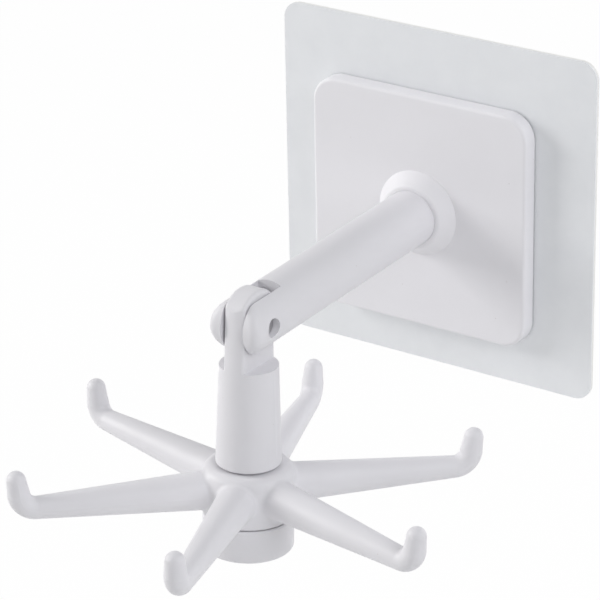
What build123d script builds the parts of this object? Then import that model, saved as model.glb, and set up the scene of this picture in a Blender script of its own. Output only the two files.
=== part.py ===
from build123d import *
import os
from math import cos, radians, sin

# Rotating hook rack for a wall: a square film with an adhesive back carries a base plate,
# a round arm stands out from the plate, and a stem folds up and down at the arm's forked
# end. Six hooks turn about the stem's lower end. Millimetres. The wall is the plane Y = 0,
# the room lies towards -Y, +Z is up, and the origin is where the arm's axis meets the wall.

# Clearances that several pieces share
push_clearance = 0.04
running_clearance = 0.06
thread_clearance = 0.02
pilot_spare = 1.0
cut_overrun = 1.0

# Film and adhesive coat, laid on by hand a little off the arm's axis
sheet_side = 80.0
sheet_corner = 4.0
sheet_shift_x = 2.4
sheet_shift_z = 2.1
adhesive_thickness = 0.6
film_thickness = 0.4

# Base plate, the coat that bonds it to the film, and the collar that holds the arm
bond_thickness = 0.3
bond_inset = 1.0
plate_side = 55.2
plate_corner = 6.0
plate_thickness = 3.8
plate_round = 0.8
collar_diameter = 20.0
collar_front_diameter = 14.6
collar_length = 3.2
collar_round = 1.0
socket_floor = 1.2
key_setback = 0.9

# Arm: a round rod, keyed by a flat in the collar and forked at its outer end
arm_diameter = 12.7
arm_flat_depth = 0.8
hinge_reach = 71.5
ear_overhang = 0.15
slot_width = 5.7
slot_end_clearance = 0.4
ear_edge_round = 2.0

# Hinge pin, held in both ears and set back from their faces
pin_diameter = 4.1
pin_setback = 1.6
pin_edge_bevel = 0.3

# Screw and washer that draw the arm into the collar from behind the plate
arm_screw_diameter = 4.0
arm_screw_reach = 13.0
arm_screw_head_diameter = 7.4
arm_screw_head_height = 2.0
arm_washer_diameter = 9.0
arm_washer_thickness = 0.5
arm_pocket_clearance = 0.3

# Stem: hangs from the hinge and leans outwards as it was left
stem_lean = 2.9
tongue_clearance = 0.35
tongue_round = 7.4
stem_shoulder_drop = 9.5
stem_drop = 31.9
stem_hinge_diameter = 12.0
stem_bottom_diameter = 14.1
tongue_front_round = 3.4
tongue_edge_round = 0.8
stem_edge_bevel = 0.3
spigot_diameter = 9.0

# Six-hook spider
hub_diameter = 19.6
hub_gap = 0.45
hub_height = 11.4
hub_top_round = 2.0
hub_bottom_bevel = 0.3
hub_lower_gap = 0.3
hook_count = 6
hook_turn = 47.4
bar_root_diameter = 8.9
bar_end_diameter = 4.9
bar_root_drop = 37.75
bar_root_depth = 4.0
bar_pitch = 0.4
bend_radius = 3.8
hook_reach = 49.6
tip_diameter = 4.2
tip_drop = 29.3
tip_lean = 8.0
hook_root_round = 1.2

# End cap, with its screw and washer in a counterbore
cap_height = 7.6
cap_round = 0.9
cap_top_bevel = 0.3
cap_recess_depth = 1.5
cap_floor = 2.6
cap_screw_diameter = 3.5
cap_screw_reach = 10.0
cap_screw_head_diameter = 6.8
cap_screw_head_height = 2.2
cap_washer_diameter = 7.8
cap_washer_thickness = 0.6
cap_pocket_clearance = 0.3

# Cross recess and bevel of both screw heads, as shares of the head
recess_span_share = 0.52
recess_width_share = 0.14
recess_depth_share = 0.5
head_bevel_share = 0.35
point_share = 0.6
point_slope = 1.5

# Distances from the wall, measured along the arm
film_back = adhesive_thickness
film_front = film_back + film_thickness
plate_back = film_front + bond_thickness
plate_front = plate_back + plate_thickness
collar_front = plate_front + collar_length
arm_pocket_depth = arm_pocket_clearance + arm_screw_head_height + arm_washer_thickness
arm_washer_back = plate_back + arm_pocket_depth - arm_washer_thickness
arm_screw_end = arm_washer_back + arm_screw_reach
socket_back = plate_back + arm_pocket_depth + socket_floor
key_front = collar_front - key_setback

# Distances below the hinge pin, measured along the stem
hub_top = stem_drop + hub_gap
hub_bottom = hub_top + hub_height
cap_top = hub_bottom + hub_lower_gap
cap_bottom = cap_top + cap_height
spigot_end = cap_top + cap_recess_depth
cap_pocket_top = spigot_end + cap_floor
cap_washer_bottom = cap_pocket_top + cap_washer_thickness
cap_screw_end = cap_washer_bottom - cap_screw_reach

ear_round = arm_diameter / 2 + ear_overhang
slot_depth = tongue_round + slot_end_clearance
tongue_thickness = slot_width - 2 * tongue_clearance
pin_length = arm_diameter - 2 * pin_setback

lean = radians(stem_lean)
stem_frame = Plane(origin=(0, -hinge_reach, 0), x_dir=(1, 0, 0), z_dir=(0, sin(lean), cos(lean)))
stem_front = Plane(origin=stem_frame.origin, x_dir=stem_frame.x_dir, z_dir=-stem_frame.y_dir)
stem_side = Plane(origin=stem_frame.origin, x_dir=stem_frame.y_dir, z_dir=stem_frame.x_dir)
stem_axis = Axis(stem_frame.origin, stem_frame.z_dir)
hinge_plane = Plane(origin=(0, -hinge_reach, 0), x_dir=(0, 1, 0), z_dir=(1, 0, 0))


def from_wall(distance):
    """Plane parallel to the wall, facing the room."""
    return Plane.XZ.offset(distance)


def below_hinge(distance):
    """Plane square to the stem, facing up along it."""
    return stem_frame.offset(-distance)


def facing_down(distance):
    """Plane square to the stem, facing down along it."""
    return Plane(origin=below_hinge(distance).origin, x_dir=stem_frame.x_dir, z_dir=-stem_frame.z_dir)


# Adhesive coat against the wall
with BuildPart() as wall_adhesive:
    with BuildSketch(from_wall(0)):
        with Locations((sheet_shift_x, sheet_shift_z)):
            RectangleRounded(sheet_side, sheet_side, sheet_corner)
    extrude(amount=adhesive_thickness)

# Film that carries the adhesive
with BuildPart() as backing_film:
    with BuildSketch(from_wall(film_back)):
        with Locations((sheet_shift_x, sheet_shift_z)):
            RectangleRounded(sheet_side, sheet_side, sheet_corner)
    extrude(amount=film_thickness)

# Bonding coat between film and plate, drawn in from the plate's sides
with BuildPart() as plate_bond:
    with BuildSketch(from_wall(film_front)):
        bond_side = plate_side - 2 * bond_inset
        RectangleRounded(bond_side, bond_side, plate_corner - bond_inset)
    extrude(amount=bond_thickness)

# Base plate: rounded square with a conical collar in its middle, a keyed socket in front
# and a pocket for the screw behind
with BuildPart() as base_plate:
    with BuildSketch(from_wall(plate_back)):
        RectangleRounded(plate_side, plate_side, plate_corner)
    extrude(amount=plate_thickness)
    fillet(base_plate.edges().group_by(Axis.Y)[0], plate_round)
    with BuildSketch(Plane.XY) as collar_outline:
        with BuildLine():
            Polyline(
                (0, -plate_front),
                (collar_diameter / 2, -plate_front),
                (collar_front_diameter / 2, -collar_front),
                (0, -collar_front),
                close=True,
            )
        make_face()
        collar_rim = collar_outline.vertices().group_by(Axis.Y)[0].sort_by(Axis.X)[-1]
        fillet(collar_rim, collar_round)
    revolve(axis=Axis.Y)
    with BuildSketch(from_wall(socket_back)):
        Circle(arm_diameter / 2 + push_clearance)
        with Locations((0, arm_diameter / 2 - arm_flat_depth + push_clearance)):
            Rectangle(arm_diameter, arm_diameter, align=(Align.CENTER, Align.MIN), mode=Mode.SUBTRACT)
    extrude(amount=key_front - socket_back, mode=Mode.SUBTRACT)
    with BuildSketch(from_wall(key_front - push_clearance)):
        Circle(arm_diameter / 2 + push_clearance)
    extrude(amount=key_setback + cut_overrun, mode=Mode.SUBTRACT)
    with Locations(Plane.ZX.offset(-plate_back)):
        CounterBoreHole(
            radius=arm_screw_diameter / 2 + push_clearance,
            counter_bore_radius=arm_washer_diameter / 2 + arm_pocket_clearance,
            counter_bore_depth=arm_pocket_depth,
            depth=socket_back,
        )

# Arm: the rod, its two ears with round ends, the slot for the stem's tongue, the key flat
# and the blind hole for the screw
with BuildPart() as fork_arm:
    with BuildSketch(from_wall(socket_back)):
        Circle(arm_diameter / 2)
    extrude(amount=hinge_reach + ear_round - socket_back)
    with BuildSketch(Plane.YZ.offset(-arm_diameter / 2)):
        with Locations((-socket_back, 0)):
            Rectangle(hinge_reach - socket_back, 2 * ear_round, align=(Align.MAX, Align.CENTER))
        with Locations((-hinge_reach, 0)):
            Circle(ear_round)
    extrude(amount=arm_diameter, mode=Mode.INTERSECT)
    with BuildSketch(Plane.XY.offset(-arm_diameter / 2)):
        with Locations((0, slot_depth - hinge_reach)):
            Rectangle(slot_width, slot_depth + 2 * ear_round, align=(Align.CENTER, Align.MAX))
    extrude(amount=arm_diameter, mode=Mode.SUBTRACT)
    ear_ends = fork_arm.faces().filter_by(
        lambda face: face.geom_type == GeomType.CYLINDER and face.center().Y < -hinge_reach
        and abs(face.radius - ear_round) < push_clearance)
    ear_creases = ear_ends.edges().filter_by(GeomType.CIRCLE, reverse=True).filter_by(
        GeomType.LINE, reverse=True)
    fillet(ear_creases, ear_edge_round)
    with Locations(hinge_plane):
        Hole(pin_diameter / 2 + push_clearance)
    with BuildSketch(from_wall(socket_back)):
        with Locations((0, arm_diameter / 2 - arm_flat_depth)):
            Rectangle(arm_diameter, arm_diameter, align=(Align.CENTER, Align.MIN))
    extrude(amount=key_front - socket_back, mode=Mode.SUBTRACT)
    with BuildSketch(from_wall(socket_back)):
        Circle(arm_screw_diameter / 2 + thread_clearance)
    extrude(amount=arm_screw_end + pilot_spare - socket_back, mode=Mode.SUBTRACT)

# Hinge pin with bevelled ends
with BuildPart() as hinge_pin:
    with BuildSketch(hinge_plane.offset(-pin_length / 2)):
        Circle(pin_diameter / 2)
    extrude(amount=pin_length)
    chamfer(hinge_pin.edges().group_by(Axis.X)[0], pin_edge_bevel)
    chamfer(hinge_pin.edges().group_by(Axis.X)[-1], pin_edge_bevel)

# Stem: one turned outline from the tongue's top to the spigot's end, then the tongue's head
# is rounded about the hinge and the cheeks are cut away beside the tongue
with BuildPart() as stem:
    outline_top = tongue_round + cut_overrun
    stem_taper = (stem_bottom_diameter - stem_hinge_diameter) / 2 / stem_drop
    with BuildSketch(stem_front) as stem_outline:
        with BuildLine():
            Polyline(
                (0, outline_top),
                (stem_hinge_diameter / 2 - stem_taper * outline_top, outline_top),
                (stem_bottom_diameter / 2, -stem_drop),
                (spigot_diameter / 2, -stem_drop),
                (spigot_diameter / 2, -spigot_end),
                (0, -spigot_end),
                close=True,
            )
        make_face()
        chamfer(stem_outline.vertices().sort_by(Axis.X)[-1], stem_edge_bevel)
    revolve(axis=stem_axis)
    with BuildSketch(stem_side.offset(-stem_bottom_diameter / 2)) as side_outline:
        Circle(tongue_round)
        Rectangle(stem_hinge_diameter, 2 * tongue_round, mode=Mode.INTERSECT)
        fillet(side_outline.vertices().group_by(Axis.Y)[-1], tongue_front_round)
        Rectangle(stem_bottom_diameter, spigot_end, align=(Align.CENTER, Align.MAX))
    extrude(amount=stem_bottom_diameter, mode=Mode.INTERSECT)
    with BuildSketch(stem_front.offset(-stem_bottom_diameter / 2)):
        for side in (-1, 1):
            with Locations((side * tongue_thickness / 2, -stem_shoulder_drop)):
                Rectangle(
                    stem_bottom_diameter,
                    stem_shoulder_drop + outline_top + cut_overrun,
                    align=(Align.MIN if side > 0 else Align.MAX, Align.MIN),
                )
    extrude(amount=stem_bottom_diameter, mode=Mode.SUBTRACT)
    tongue_sides = stem.faces().filter_by(Axis.X)
    shoulder_lines = stem.faces().filter_by(stem_axis).sort_by(stem_axis)[-2:].edges()
    fillet(tongue_sides.edges() - shoulder_lines, tongue_edge_round)
    with Locations(hinge_plane):
        Hole(pin_diameter / 2 + running_clearance)
    with BuildSketch(facing_down(spigot_end)):
        Circle(cap_screw_diameter / 2 + thread_clearance)
    extrude(amount=cap_screw_end - pilot_spare - spigot_end, mode=Mode.SUBTRACT)

# One hook, standing out along +X from the stem's axis: tapered bar, bend, leaning tip and
# round end. Bar length and tip length follow from where the round end has to be.
bar_way = Vector(cos(radians(bar_pitch)), 0, -sin(radians(bar_pitch)))
tip_way = Vector(sin(radians(tip_lean)), 0, cos(radians(tip_lean)))
bar_up = Vector(-bar_way.Z, 0, bar_way.X)
tip_up = Vector(-tip_way.Z, 0, tip_way.X)
bar_start = Vector(hub_diameter / 2 - bar_root_depth, 0, 0)
tip_end = Vector(hook_reach, 0, bar_root_drop - tip_drop - tip_diameter / 2)
span = tip_end - bar_start - bar_up * bend_radius + tip_up * bend_radius
turn = bar_way.cross(tip_way).Y
bar_end = bar_start + bar_way * (span.cross(tip_way).Y / turn)
tip_start = tip_end - tip_way * (bar_way.cross(span).Y / turn)
bend_centre = bar_end + bar_up * bend_radius

with BuildPart() as hook:
    with Locations(Plane(origin=bar_start, x_dir=(0, 1, 0), z_dir=bar_way)):
        Cone(
            bottom_radius=bar_root_diameter / 2,
            top_radius=bar_end_diameter / 2,
            height=(bar_end - bar_start).length,
            align=(Align.CENTER, Align.CENTER, Align.MIN),
        )
    with BuildSketch(Plane(origin=bar_end, x_dir=(0, 1, 0), z_dir=bar_way)):
        Circle(bar_end_diameter / 2)
    revolve(axis=Axis(bend_centre, (0, -1, 0)), revolution_arc=90 - tip_lean + bar_pitch)
    with Locations(Plane(origin=tip_start, x_dir=(0, 1, 0), z_dir=tip_way)):
        Cone(
            bottom_radius=bar_end_diameter / 2,
            top_radius=tip_diameter / 2,
            height=(tip_end - tip_start).length,
            align=(Align.CENTER, Align.CENTER, Align.MIN),
        )
    with Locations(tip_end):
        Sphere(tip_diameter / 2)

# Spider: the hub with its hooks in a ring, rounded where each hook leaves it, bored for the
# stem's spigot
with BuildPart(below_hinge(bar_root_drop)) as hook_spider:
    with BuildSketch(below_hinge(hub_bottom)):
        Circle(hub_diameter / 2)
    extrude(amount=hub_height)
    fillet(hook_spider.edges().group_by(stem_axis)[-1], hub_top_round)
    chamfer(hook_spider.edges().group_by(stem_axis)[0], hub_bottom_bevel)
    with PolarLocations(0, hook_count, start_angle=hook_turn):
        add(hook.part)
    hub_side = hook_spider.faces().filter_by(GeomType.CYLINDER).sort_by(SortBy.AREA)[-1]
    hub_shoulder = hook_spider.faces().filter_by(GeomType.TORUS).sort_by(SortBy.AREA)[-1]
    root_edges = (hub_side.edges() + hub_shoulder.edges()).filter_by(GeomType.CIRCLE, reverse=True)
    fillet(root_edges, hook_root_round)
    with BuildSketch(below_hinge(hub_bottom)):
        Circle(spigot_diameter / 2 + running_clearance)
    extrude(amount=hub_height, mode=Mode.SUBTRACT)

# End cap: a round button that the spigot's end stands in, counterbored from below
with BuildPart() as end_cap:
    with BuildSketch(below_hinge(cap_bottom)):
        Circle(hub_diameter / 2)
    extrude(amount=cap_height)
    fillet(end_cap.edges().group_by(stem_axis)[0], cap_round)
    chamfer(end_cap.edges().group_by(stem_axis)[-1], cap_top_bevel)
    with BuildSketch(below_hinge(spigot_end)):
        Circle(spigot_diameter / 2 + push_clearance)
    extrude(amount=cap_recess_depth, mode=Mode.SUBTRACT)
    with Locations(facing_down(cap_bottom)):
        CounterBoreHole(
            radius=cap_screw_diameter / 2 + push_clearance,
            counter_bore_radius=cap_washer_diameter / 2 + cap_pocket_clearance,
            counter_bore_depth=cap_bottom - cap_pocket_top,
            depth=cap_height,
        )


def flat_washer(seat, outer, inner, thickness):
    """Ring that lies on the seat plane and rises along it."""
    with BuildPart() as washer:
        with BuildSketch(seat):
            Circle(outer / 2)
            Circle(inner / 2 + push_clearance, mode=Mode.SUBTRACT)
        extrude(amount=thickness)
    return washer


def pan_screw(seat, diameter, reach, head_diameter, head_height):
    """Cross-recessed screw whose head bears on the seat plane and whose point is along it."""
    with BuildPart() as screw:
        with BuildSketch(seat.offset(-head_height)):
            Circle(head_diameter / 2)
        extrude(amount=head_height)
        along = Axis(seat.origin, seat.z_dir)
        chamfer(screw.edges().group_by(along)[0], head_height * head_bevel_share)
        with BuildSketch(seat):
            Circle(diameter / 2)
        extrude(amount=reach)
        point = diameter / 2 * point_share
        chamfer(screw.edges().group_by(along)[-1], length=point * point_slope, length2=point)
        with BuildSketch(seat.offset(-head_height)):
            span_across = head_diameter * recess_span_share
            Rectangle(span_across, head_diameter * recess_width_share)
            Rectangle(head_diameter * recess_width_share, span_across)
        extrude(amount=head_height * recess_depth_share, mode=Mode.SUBTRACT)
    return screw


arm_washer = flat_washer(
    from_wall(arm_washer_back), arm_washer_diameter, arm_screw_diameter, arm_washer_thickness)
arm_screw = pan_screw(
    from_wall(arm_washer_back), arm_screw_diameter, arm_screw_reach, arm_screw_head_diameter,
    arm_screw_head_height)
cap_washer = flat_washer(
    below_hinge(cap_washer_bottom), cap_washer_diameter, cap_screw_diameter, cap_washer_thickness)
cap_screw = pan_screw(
    below_hinge(cap_washer_bottom), cap_screw_diameter, cap_screw_reach, cap_screw_head_diameter,
    cap_screw_head_height)

parts = {
    "wall_adhesive": wall_adhesive,
    "backing_film": backing_film,
    "plate_bond": plate_bond,
    "base_plate": base_plate,
    "fork_arm": fork_arm,
    "arm_washer": arm_washer,
    "arm_screw": arm_screw,
    "hinge_pin": hinge_pin,
    "stem": stem,
    "hook_spider": hook_spider,
    "end_cap": end_cap,
    "cap_washer": cap_washer,
    "cap_screw": cap_screw,
}
os.makedirs("parts", exist_ok=True)
for name, piece in parts.items():
    piece.part.label = name
    export_step(piece.part, f"parts/{name}.step")
    print(name, round(piece.part.volume, 1), len(piece.part.solids()))
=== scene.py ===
from math import cos, radians, sin

import bpy
from mathutils import Matrix, Vector

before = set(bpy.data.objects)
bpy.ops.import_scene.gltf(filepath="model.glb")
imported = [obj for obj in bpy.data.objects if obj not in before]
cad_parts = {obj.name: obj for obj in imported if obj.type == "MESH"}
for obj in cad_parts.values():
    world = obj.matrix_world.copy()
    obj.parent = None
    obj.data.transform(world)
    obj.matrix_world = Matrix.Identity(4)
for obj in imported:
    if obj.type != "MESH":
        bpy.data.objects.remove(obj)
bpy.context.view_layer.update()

# The view: the rack is seen from the right and above, through a long lens, as someone would
# see it who stands a little to the right of it. The place was fitted to the outlines of the
# film, the plate, the arm and the six hook tips.
view_azimuth = radians(34.14)
view_elevation = radians(24.97)
view_roll = radians(-1.17)
eye = Vector((0.34534, -0.56183, 0.28393))
focal_pixels = 3196.5
picture_pixels = 600
sensor_mm = 36.0

camera_data = bpy.data.cameras.new("view")
camera_data.sensor_width = sensor_mm
camera_data.lens = focal_pixels / picture_pixels * sensor_mm
camera_data.clip_start = 0.05
camera_data.clip_end = 20.0
camera = bpy.data.objects.new("view", camera_data)
bpy.context.scene.collection.objects.link(camera)
towards_eye = Vector((
    sin(view_azimuth) * cos(view_elevation),
    -cos(view_azimuth) * cos(view_elevation),
    sin(view_elevation),
))
level_right = Vector((0, 0, 1)).cross(towards_eye).normalized()
level_up = towards_eye.cross(level_right)
eye_right = level_right * cos(view_roll) + level_up * sin(view_roll)
eye_up = level_up * cos(view_roll) - level_right * sin(view_roll)
turn = Matrix((eye_right, eye_up, towards_eye)).transposed()
camera.matrix_world = Matrix.Translation(eye) @ turn.to_4x4()
bpy.context.scene.camera = camera

# The room: a plain white floor far below the rack and the same white all round it. The floor
# keeps a faint shadow and is clear from below, so that the rack shows from there too. The camera
# and the gloss see the full white, while the light that the room gives the rack is set apart.
floor_drop = 0.30
floor_half = 3.0
room_light = 0.375
room_tint = (0.985, 0.99, 1.0, 1)
floor_colour = (0.93, 0.93, 0.93, 1)
floor_own_white = 0.975
full_white = (1, 1, 1, 1)


def node_tree(owner):
    """Turns an owner's nodes on, empties them and hands back its nodes and links."""
    owner.use_nodes = True
    owner.node_tree.nodes.clear()
    return owner.node_tree.nodes, owner.node_tree.links


def seen_mask(nodes, links):
    """One where a ray comes from the camera, from gloss or from a clear body, and zero else."""
    path = nodes.new("ShaderNodeLightPath")
    gloss_or_eye = nodes.new("ShaderNodeMath")
    gloss_or_eye.operation = "MAXIMUM"
    links.new(path.outputs["Is Camera Ray"], gloss_or_eye.inputs[0])
    links.new(path.outputs["Is Glossy Ray"], gloss_or_eye.inputs[1])
    seen = nodes.new("ShaderNodeMath")
    seen.operation = "MAXIMUM"
    links.new(gloss_or_eye.outputs[0], seen.inputs[0])
    links.new(path.outputs["Is Transmission Ray"], seen.inputs[1])
    return seen.outputs[0]


room = bpy.data.worlds.new("room")
bpy.context.scene.world = room
nodes, links = node_tree(room)
lighting = nodes.new("ShaderNodeBackground")
lighting.inputs["Color"].default_value = room_tint
lighting.inputs["Strength"].default_value = room_light
backdrop = nodes.new("ShaderNodeBackground")
backdrop.inputs["Color"].default_value = full_white
pick = nodes.new("ShaderNodeMixShader")
links.new(seen_mask(nodes, links), pick.inputs[0])
links.new(lighting.outputs[0], pick.inputs[1])
links.new(backdrop.outputs[0], pick.inputs[2])
world_out = nodes.new("ShaderNodeOutputWorld")
links.new(pick.outputs[0], world_out.inputs["Surface"])

bpy.ops.mesh.primitive_plane_add(size=2 * floor_half, location=(0, 0, -floor_drop))
floor = bpy.context.object
floor.name = "floor"
floor_paint = bpy.data.materials.new("floor_paint")
nodes, links = node_tree(floor_paint)
matt = nodes.new("ShaderNodeBsdfDiffuse")
matt.inputs["Color"].default_value = floor_colour
own_white = nodes.new("ShaderNodeEmission")
own_white.inputs["Color"].default_value = full_white
share = nodes.new("ShaderNodeMath")
share.operation = "MULTIPLY"
share.inputs[1].default_value = floor_own_white
links.new(seen_mask(nodes, links), share.inputs[0])
blend = nodes.new("ShaderNodeMixShader")
links.new(share.outputs[0], blend.inputs[0])
links.new(matt.outputs[0], blend.inputs[1])
links.new(own_white.outputs[0], blend.inputs[2])
clear = nodes.new("ShaderNodeBsdfTransparent")
side = nodes.new("ShaderNodeNewGeometry")
one_way = nodes.new("ShaderNodeMixShader")
links.new(side.outputs["Backfacing"], one_way.inputs[0])
links.new(blend.outputs[0], one_way.inputs[1])
links.new(clear.outputs[0], one_way.inputs[2])
floor_out = nodes.new("ShaderNodeOutputMaterial")
links.new(one_way.outputs[0], floor_out.inputs["Surface"])
floor.data.materials.append(floor_paint)

# The lamps: a soft key from the left and a little above, which grazes the wall side and leaves
# the sides that face the eye in soft shade, and weak fills from the right, the front and behind.
rack_middle = Vector((0.0, -0.06, -0.01))


def soft_lamp(name, towards, distance, size, power, tint):
    """A square lamp that looks at the middle of the rack."""
    data = bpy.data.lights.new(name, "AREA")
    data.shape = "SQUARE"
    data.size = size
    data.energy = power
    data.color = tint
    lamp = bpy.data.objects.new(name, data)
    bpy.context.scene.collection.objects.link(lamp)
    way = Vector(towards).normalized()
    lamp.location = rack_middle + way * distance
    lamp.rotation_euler = way.to_track_quat("Z", "Y").to_euler()


soft_lamp("key", towards=(-0.91, -0.33, 0.35), distance=1.4, size=0.65,
          power=11.8, tint=(1.0, 0.99, 0.98))
soft_lamp("right_fill", towards=(0.80, -0.12, 0.60), distance=1.0, size=0.8,
          power=4.7, tint=(0.97, 0.975, 1.0))
soft_lamp("front_fill", towards=(-0.10, -0.95, 0.20), distance=1.1, size=0.8,
          power=0.5, tint=(1.0, 1.0, 1.0))
soft_lamp("back_fill", towards=(0.15, 0.97, 0.20), distance=1.2, size=0.8,
          power=3.6, tint=(1.0, 1.0, 1.0))

# The wall film and the two adhesive coats: a thin glossy film with a pearly, faintly clouded
# look, over a soft milky adhesive that shows only at its rim. The film is die cut and laid on
# by hand, and the same adhesive holds the plate to it.
film_pearl = (0.87, 0.885, 0.90, 1)
film_cloud = (0.79, 0.807, 0.83, 1)
film_cloud_size = 0.007
film_ripple_size = 0.0016
film_ripple_depth = 0.000012
film_coat = 0.35
film_coat_roughness = 0.12
adhesive_milk = (0.90, 0.90, 0.885, 1)
adhesive_deep = (0.84, 0.84, 0.815, 1)
adhesive_cloud_size = 0.004
adhesive_ripple_size = 0.0009
adhesive_ripple_depth = 0.00003


def new_material(name):
    """A material with a shader and its output, and hands back both with its nodes and links."""
    material = bpy.data.materials.new(name)
    nodes, links = node_tree(material)
    shader = nodes.new("ShaderNodeBsdfPrincipled")
    out = nodes.new("ShaderNodeOutputMaterial")
    links.new(shader.outputs["BSDF"], out.inputs["Surface"])
    return material, shader, nodes, links


def dress(node, material):
    """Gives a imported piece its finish."""
    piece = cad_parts[node]
    if not piece.material_slots:
        piece.data.materials.append(material)
    for slot in piece.material_slots:
        slot.material = material


def cloud_group():
    """Soft clouds between two colours, with a fine ripple for the surface."""
    group = bpy.data.node_groups.new("clouded_sheet", "ShaderNodeTree")
    face = group.interface
    for name, kind in (("Light", "NodeSocketColor"), ("Dark", "NodeSocketColor"),
                       ("Cloud scale", "NodeSocketFloat"), ("Ripple scale", "NodeSocketFloat")):
        face.new_socket(name, in_out="INPUT", socket_type=kind)
    for name, kind in (("Color", "NodeSocketColor"), ("Mask", "NodeSocketFloat"),
                       ("Height", "NodeSocketFloat")):
        face.new_socket(name, in_out="OUTPUT", socket_type=kind)
    nodes, links = group.nodes, group.links
    source = nodes.new("NodeGroupInput")
    result = nodes.new("NodeGroupOutput")
    place = nodes.new("ShaderNodeTexCoord")
    cloud = nodes.new("ShaderNodeTexNoise")
    cloud.inputs["Detail"].default_value = 7.0
    cloud.inputs["Roughness"].default_value = 0.62
    links.new(place.outputs["Object"], cloud.inputs["Vector"])
    links.new(source.outputs["Cloud scale"], cloud.inputs["Scale"])
    mix = nodes.new("ShaderNodeMix")
    mix.data_type = "RGBA"
    links.new(cloud.outputs["Fac"], mix.inputs["Factor"])
    links.new(source.outputs["Light"], mix.inputs["A"])
    links.new(source.outputs["Dark"], mix.inputs["B"])
    ripple = nodes.new("ShaderNodeTexNoise")
    ripple.inputs["Detail"].default_value = 2.0
    links.new(place.outputs["Object"], ripple.inputs["Vector"])
    links.new(source.outputs["Ripple scale"], ripple.inputs["Scale"])
    links.new(mix.outputs["Result"], result.inputs["Color"])
    links.new(cloud.outputs["Fac"], result.inputs["Mask"])
    links.new(ripple.outputs["Fac"], result.inputs["Height"])
    return group


clouded_sheet = cloud_group()


def sheet_material(name, light, dark, cloud_size, ripple_size, ripple_depth, rough_low, rough_high):
    """A thin sheet with soft clouds in its colour and its gloss."""
    material, shader, nodes, links = new_material(name)
    clouds = nodes.new("ShaderNodeGroup")
    clouds.node_tree = clouded_sheet
    clouds.inputs["Light"].default_value = light
    clouds.inputs["Dark"].default_value = dark
    clouds.inputs["Cloud scale"].default_value = 1 / cloud_size
    clouds.inputs["Ripple scale"].default_value = 1 / ripple_size
    links.new(clouds.outputs["Color"], shader.inputs["Base Color"])
    gloss = nodes.new("ShaderNodeMapRange")
    gloss.inputs["To Min"].default_value = rough_low
    gloss.inputs["To Max"].default_value = rough_high
    links.new(clouds.outputs["Mask"], gloss.inputs["Value"])
    links.new(gloss.outputs["Result"], shader.inputs["Roughness"])
    bump = nodes.new("ShaderNodeBump")
    bump.inputs["Distance"].default_value = ripple_depth
    links.new(clouds.outputs["Height"], bump.inputs["Height"])
    links.new(bump.outputs["Normal"], shader.inputs["Normal"])
    return material, shader


pearly_film, shader = sheet_material(
    "pearly_film", film_pearl, film_cloud, film_cloud_size, film_ripple_size, film_ripple_depth,
    rough_low=0.29, rough_high=0.40)
shader.inputs["Coat Weight"].default_value = film_coat
shader.inputs["Coat Roughness"].default_value = film_coat_roughness
dress("backing_film", pearly_film)

milky_adhesive, shader = sheet_material(
    "milky_adhesive", adhesive_milk, adhesive_deep, adhesive_cloud_size, adhesive_ripple_size,
    adhesive_ripple_depth, rough_low=0.45, rough_high=0.62)
dress("wall_adhesive", milky_adhesive)
dress("plate_bond", milky_adhesive)

# The white mouldings: plate with collar, arm, stem, hook ring and cap, moulded in white plastic
# with a satin skin. The plate's white is a lighter copy of the same plastic, painted light that
# stands in for more light on the plate. Each has a fine grain from its mould, a faint flow of
# lighter and duller plastic, and a few specks too small to see from a step away.
plastic_white = (0.785, 0.778, 0.805, 1)
plastic_flow = (0.755, 0.747, 0.772, 1)
# painted light: the plate's two whites are the plastic's whites raised, to stand in for more light
# on it
plate_white_painted_light = (0.845, 0.838, 0.865, 1)
plate_flow_painted_light = (0.815, 0.807, 0.833, 1)
plastic_speck = (0.66, 0.64, 0.64, 1)
grain_size = 0.00035
speck_spacing = 0.006
speck_share = 0.022


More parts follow.
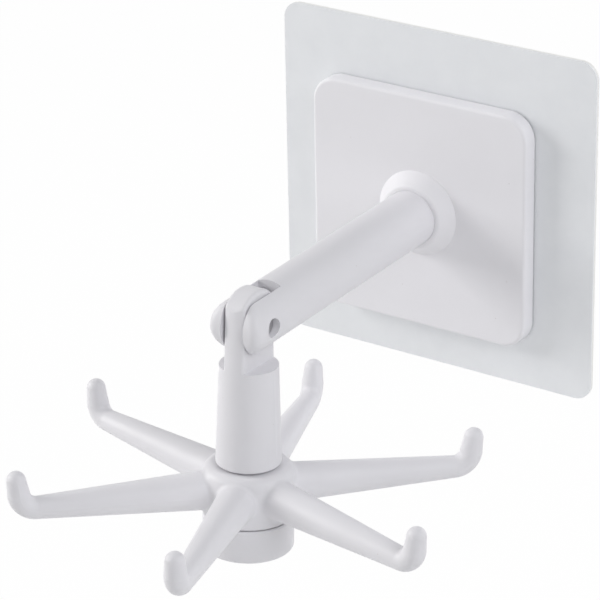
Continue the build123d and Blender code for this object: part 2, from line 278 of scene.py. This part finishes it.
def moulded_group():
    """The skin of a moulding: flow, grain and specks from three textures."""
    group = bpy.data.node_groups.new("moulded_skin", "ShaderNodeTree")
    face = group.interface
    for name, kind in (("Clean", "NodeSocketColor"), ("Flow", "NodeSocketColor"),
                       ("Speck", "NodeSocketColor"), ("Flow scale", "NodeSocketFloat"),
                       ("Grain scale", "NodeSocketFloat"), ("Speck scale", "NodeSocketFloat"),
                       ("Speck size", "NodeSocketFloat")):
        face.new_socket(name, in_out="INPUT", socket_type=kind)
    for name, kind in (("Color", "NodeSocketColor"), ("Dullness", "NodeSocketFloat"),
                       ("Height", "NodeSocketFloat")):
        face.new_socket(name, in_out="OUTPUT", socket_type=kind)
    nodes, links = group.nodes, group.links
    source = nodes.new("NodeGroupInput")
    result = nodes.new("NodeGroupOutput")
    place = nodes.new("ShaderNodeTexCoord")
    flow = nodes.new("ShaderNodeTexNoise")
    flow.inputs["Detail"].default_value = 4.0
    flow.inputs["Roughness"].default_value = 0.5
    flow.inputs["Distortion"].default_value = 0.6
    links.new(place.outputs["Object"], flow.inputs["Vector"])
    links.new(source.outputs["Flow scale"], flow.inputs["Scale"])
    tone = nodes.new("ShaderNodeMix")
    tone.data_type = "RGBA"
    links.new(flow.outputs["Fac"], tone.inputs["Factor"])
    links.new(source.outputs["Clean"], tone.inputs["A"])
    links.new(source.outputs["Flow"], tone.inputs["B"])
    cells = nodes.new("ShaderNodeTexVoronoi")
    links.new(place.outputs["Object"], cells.inputs["Vector"])
    links.new(source.outputs["Speck scale"], cells.inputs["Scale"])
    near = nodes.new("ShaderNodeMath")
    near.operation = "LESS_THAN"
    links.new(cells.outputs["Distance"], near.inputs[0])
    links.new(source.outputs["Speck size"], near.inputs[1])
    specks = nodes.new("ShaderNodeMix")
    specks.data_type = "RGBA"
    links.new(near.outputs[0], specks.inputs["Factor"])
    links.new(tone.outputs["Result"], specks.inputs["A"])
    links.new(source.outputs["Speck"], specks.inputs["B"])
    grain = nodes.new("ShaderNodeTexNoise")
    grain.inputs["Detail"].default_value = 3.0
    grain.inputs["Roughness"].default_value = 0.6
    links.new(place.outputs["Object"], grain.inputs["Vector"])
    links.new(source.outputs["Grain scale"], grain.inputs["Scale"])
    links.new(specks.outputs["Result"], result.inputs["Color"])
    links.new(flow.outputs["Fac"], result.inputs["Dullness"])
    links.new(grain.outputs["Fac"], result.inputs["Height"])
    return group


moulded_skin = moulded_group()


def white_moulding(name, clean, flow, flow_size, grain_depth, rough_low, rough_high):
    """White plastic with its own flow and grain for each moulding."""
    material, shader, nodes, links = new_material(name)
    skin = nodes.new("ShaderNodeGroup")
    skin.node_tree = moulded_skin
    skin.inputs["Clean"].default_value = clean
    skin.inputs["Flow"].default_value = flow
    skin.inputs["Speck"].default_value = plastic_speck
    skin.inputs["Flow scale"].default_value = 1 / flow_size
    skin.inputs["Grain scale"].default_value = 1 / grain_size
    skin.inputs["Speck scale"].default_value = 1 / speck_spacing
    skin.inputs["Speck size"].default_value = speck_share
    links.new(skin.outputs["Color"], shader.inputs["Base Color"])
    dull = nodes.new("ShaderNodeMapRange")
    dull.inputs["To Min"].default_value = rough_low
    dull.inputs["To Max"].default_value = rough_high
    links.new(skin.outputs["Dullness"], dull.inputs["Value"])
    links.new(dull.outputs["Result"], shader.inputs["Roughness"])
    bump = nodes.new("ShaderNodeBump")
    bump.inputs["Distance"].default_value = grain_depth
    links.new(skin.outputs["Height"], bump.inputs["Height"])
    links.new(bump.outputs["Normal"], shader.inputs["Normal"])
    return material


# the plate's plastic, painted a little lighter than the rest as painted light
dress("base_plate", white_moulding(
    "plate_plastic", plate_white_painted_light, plate_flow_painted_light, flow_size=0.016, grain_depth=0.000010,
    rough_low=0.46, rough_high=0.58))
dress("fork_arm", white_moulding(
    "arm_plastic", plastic_white, plastic_flow, flow_size=0.012, grain_depth=0.000008,
    rough_low=0.45, rough_high=0.57))
dress("stem", white_moulding(
    "stem_plastic", plastic_white, plastic_flow, flow_size=0.009, grain_depth=0.000008,
    rough_low=0.44, rough_high=0.56))
hook_plastic = white_moulding(
    "hook_plastic", plastic_white, plastic_flow, flow_size=0.010, grain_depth=0.000008,
    rough_low=0.44, rough_high=0.56)
dress("hook_spider", hook_plastic)
dress("end_cap", hook_plastic)

# The hinge pin, the two screws and their washers: plated steel, turned or stamped. The pin is
# pressed into the ears and stands a little back in its hole, where it catches a dull light.
steel_light = (0.60, 0.60, 0.61, 1)
steel_dark = (0.42, 0.42, 0.43, 1)
scratch_size = 0.0011
scratch_stretch = (1.0, 14.0, 1.0)
scratch_depth = 0.000006
steel_rough_low = 0.28
steel_rough_high = 0.46

plated_steel, shader, nodes, links = new_material("plated_steel")
shader.inputs["Metallic"].default_value = 1.0
place = nodes.new("ShaderNodeTexCoord")
along = nodes.new("ShaderNodeMapping")
along.inputs["Scale"].default_value = scratch_stretch
links.new(place.outputs["Object"], along.inputs["Vector"])
scratch = nodes.new("ShaderNodeTexNoise")
scratch.inputs["Scale"].default_value = 1 / scratch_size
scratch.inputs["Detail"].default_value = 4.0
links.new(along.outputs["Vector"], scratch.inputs["Vector"])
sheen = nodes.new("ShaderNodeMix")
sheen.data_type = "RGBA"
sheen.inputs["A"].default_value = steel_light
sheen.inputs["B"].default_value = steel_dark
links.new(scratch.outputs["Fac"], sheen.inputs["Factor"])
links.new(sheen.outputs["Result"], shader.inputs["Base Color"])
dull = nodes.new("ShaderNodeMapRange")
dull.inputs["To Min"].default_value = steel_rough_low
dull.inputs["To Max"].default_value = steel_rough_high
links.new(scratch.outputs["Fac"], dull.inputs["Value"])
links.new(dull.outputs["Result"], shader.inputs["Roughness"])
bump = nodes.new("ShaderNodeBump")
bump.inputs["Distance"].default_value = scratch_depth
links.new(scratch.outputs["Fac"], bump.inputs["Height"])
links.new(bump.outputs["Normal"], shader.inputs["Normal"])
for node in ("hinge_pin", "arm_washer", "arm_screw", "cap_washer", "cap_screw"):
    dress(node, plated_steel)

# The picture keeps plain colours.
bpy.context.scene.view_settings.view_transform = "Standard"
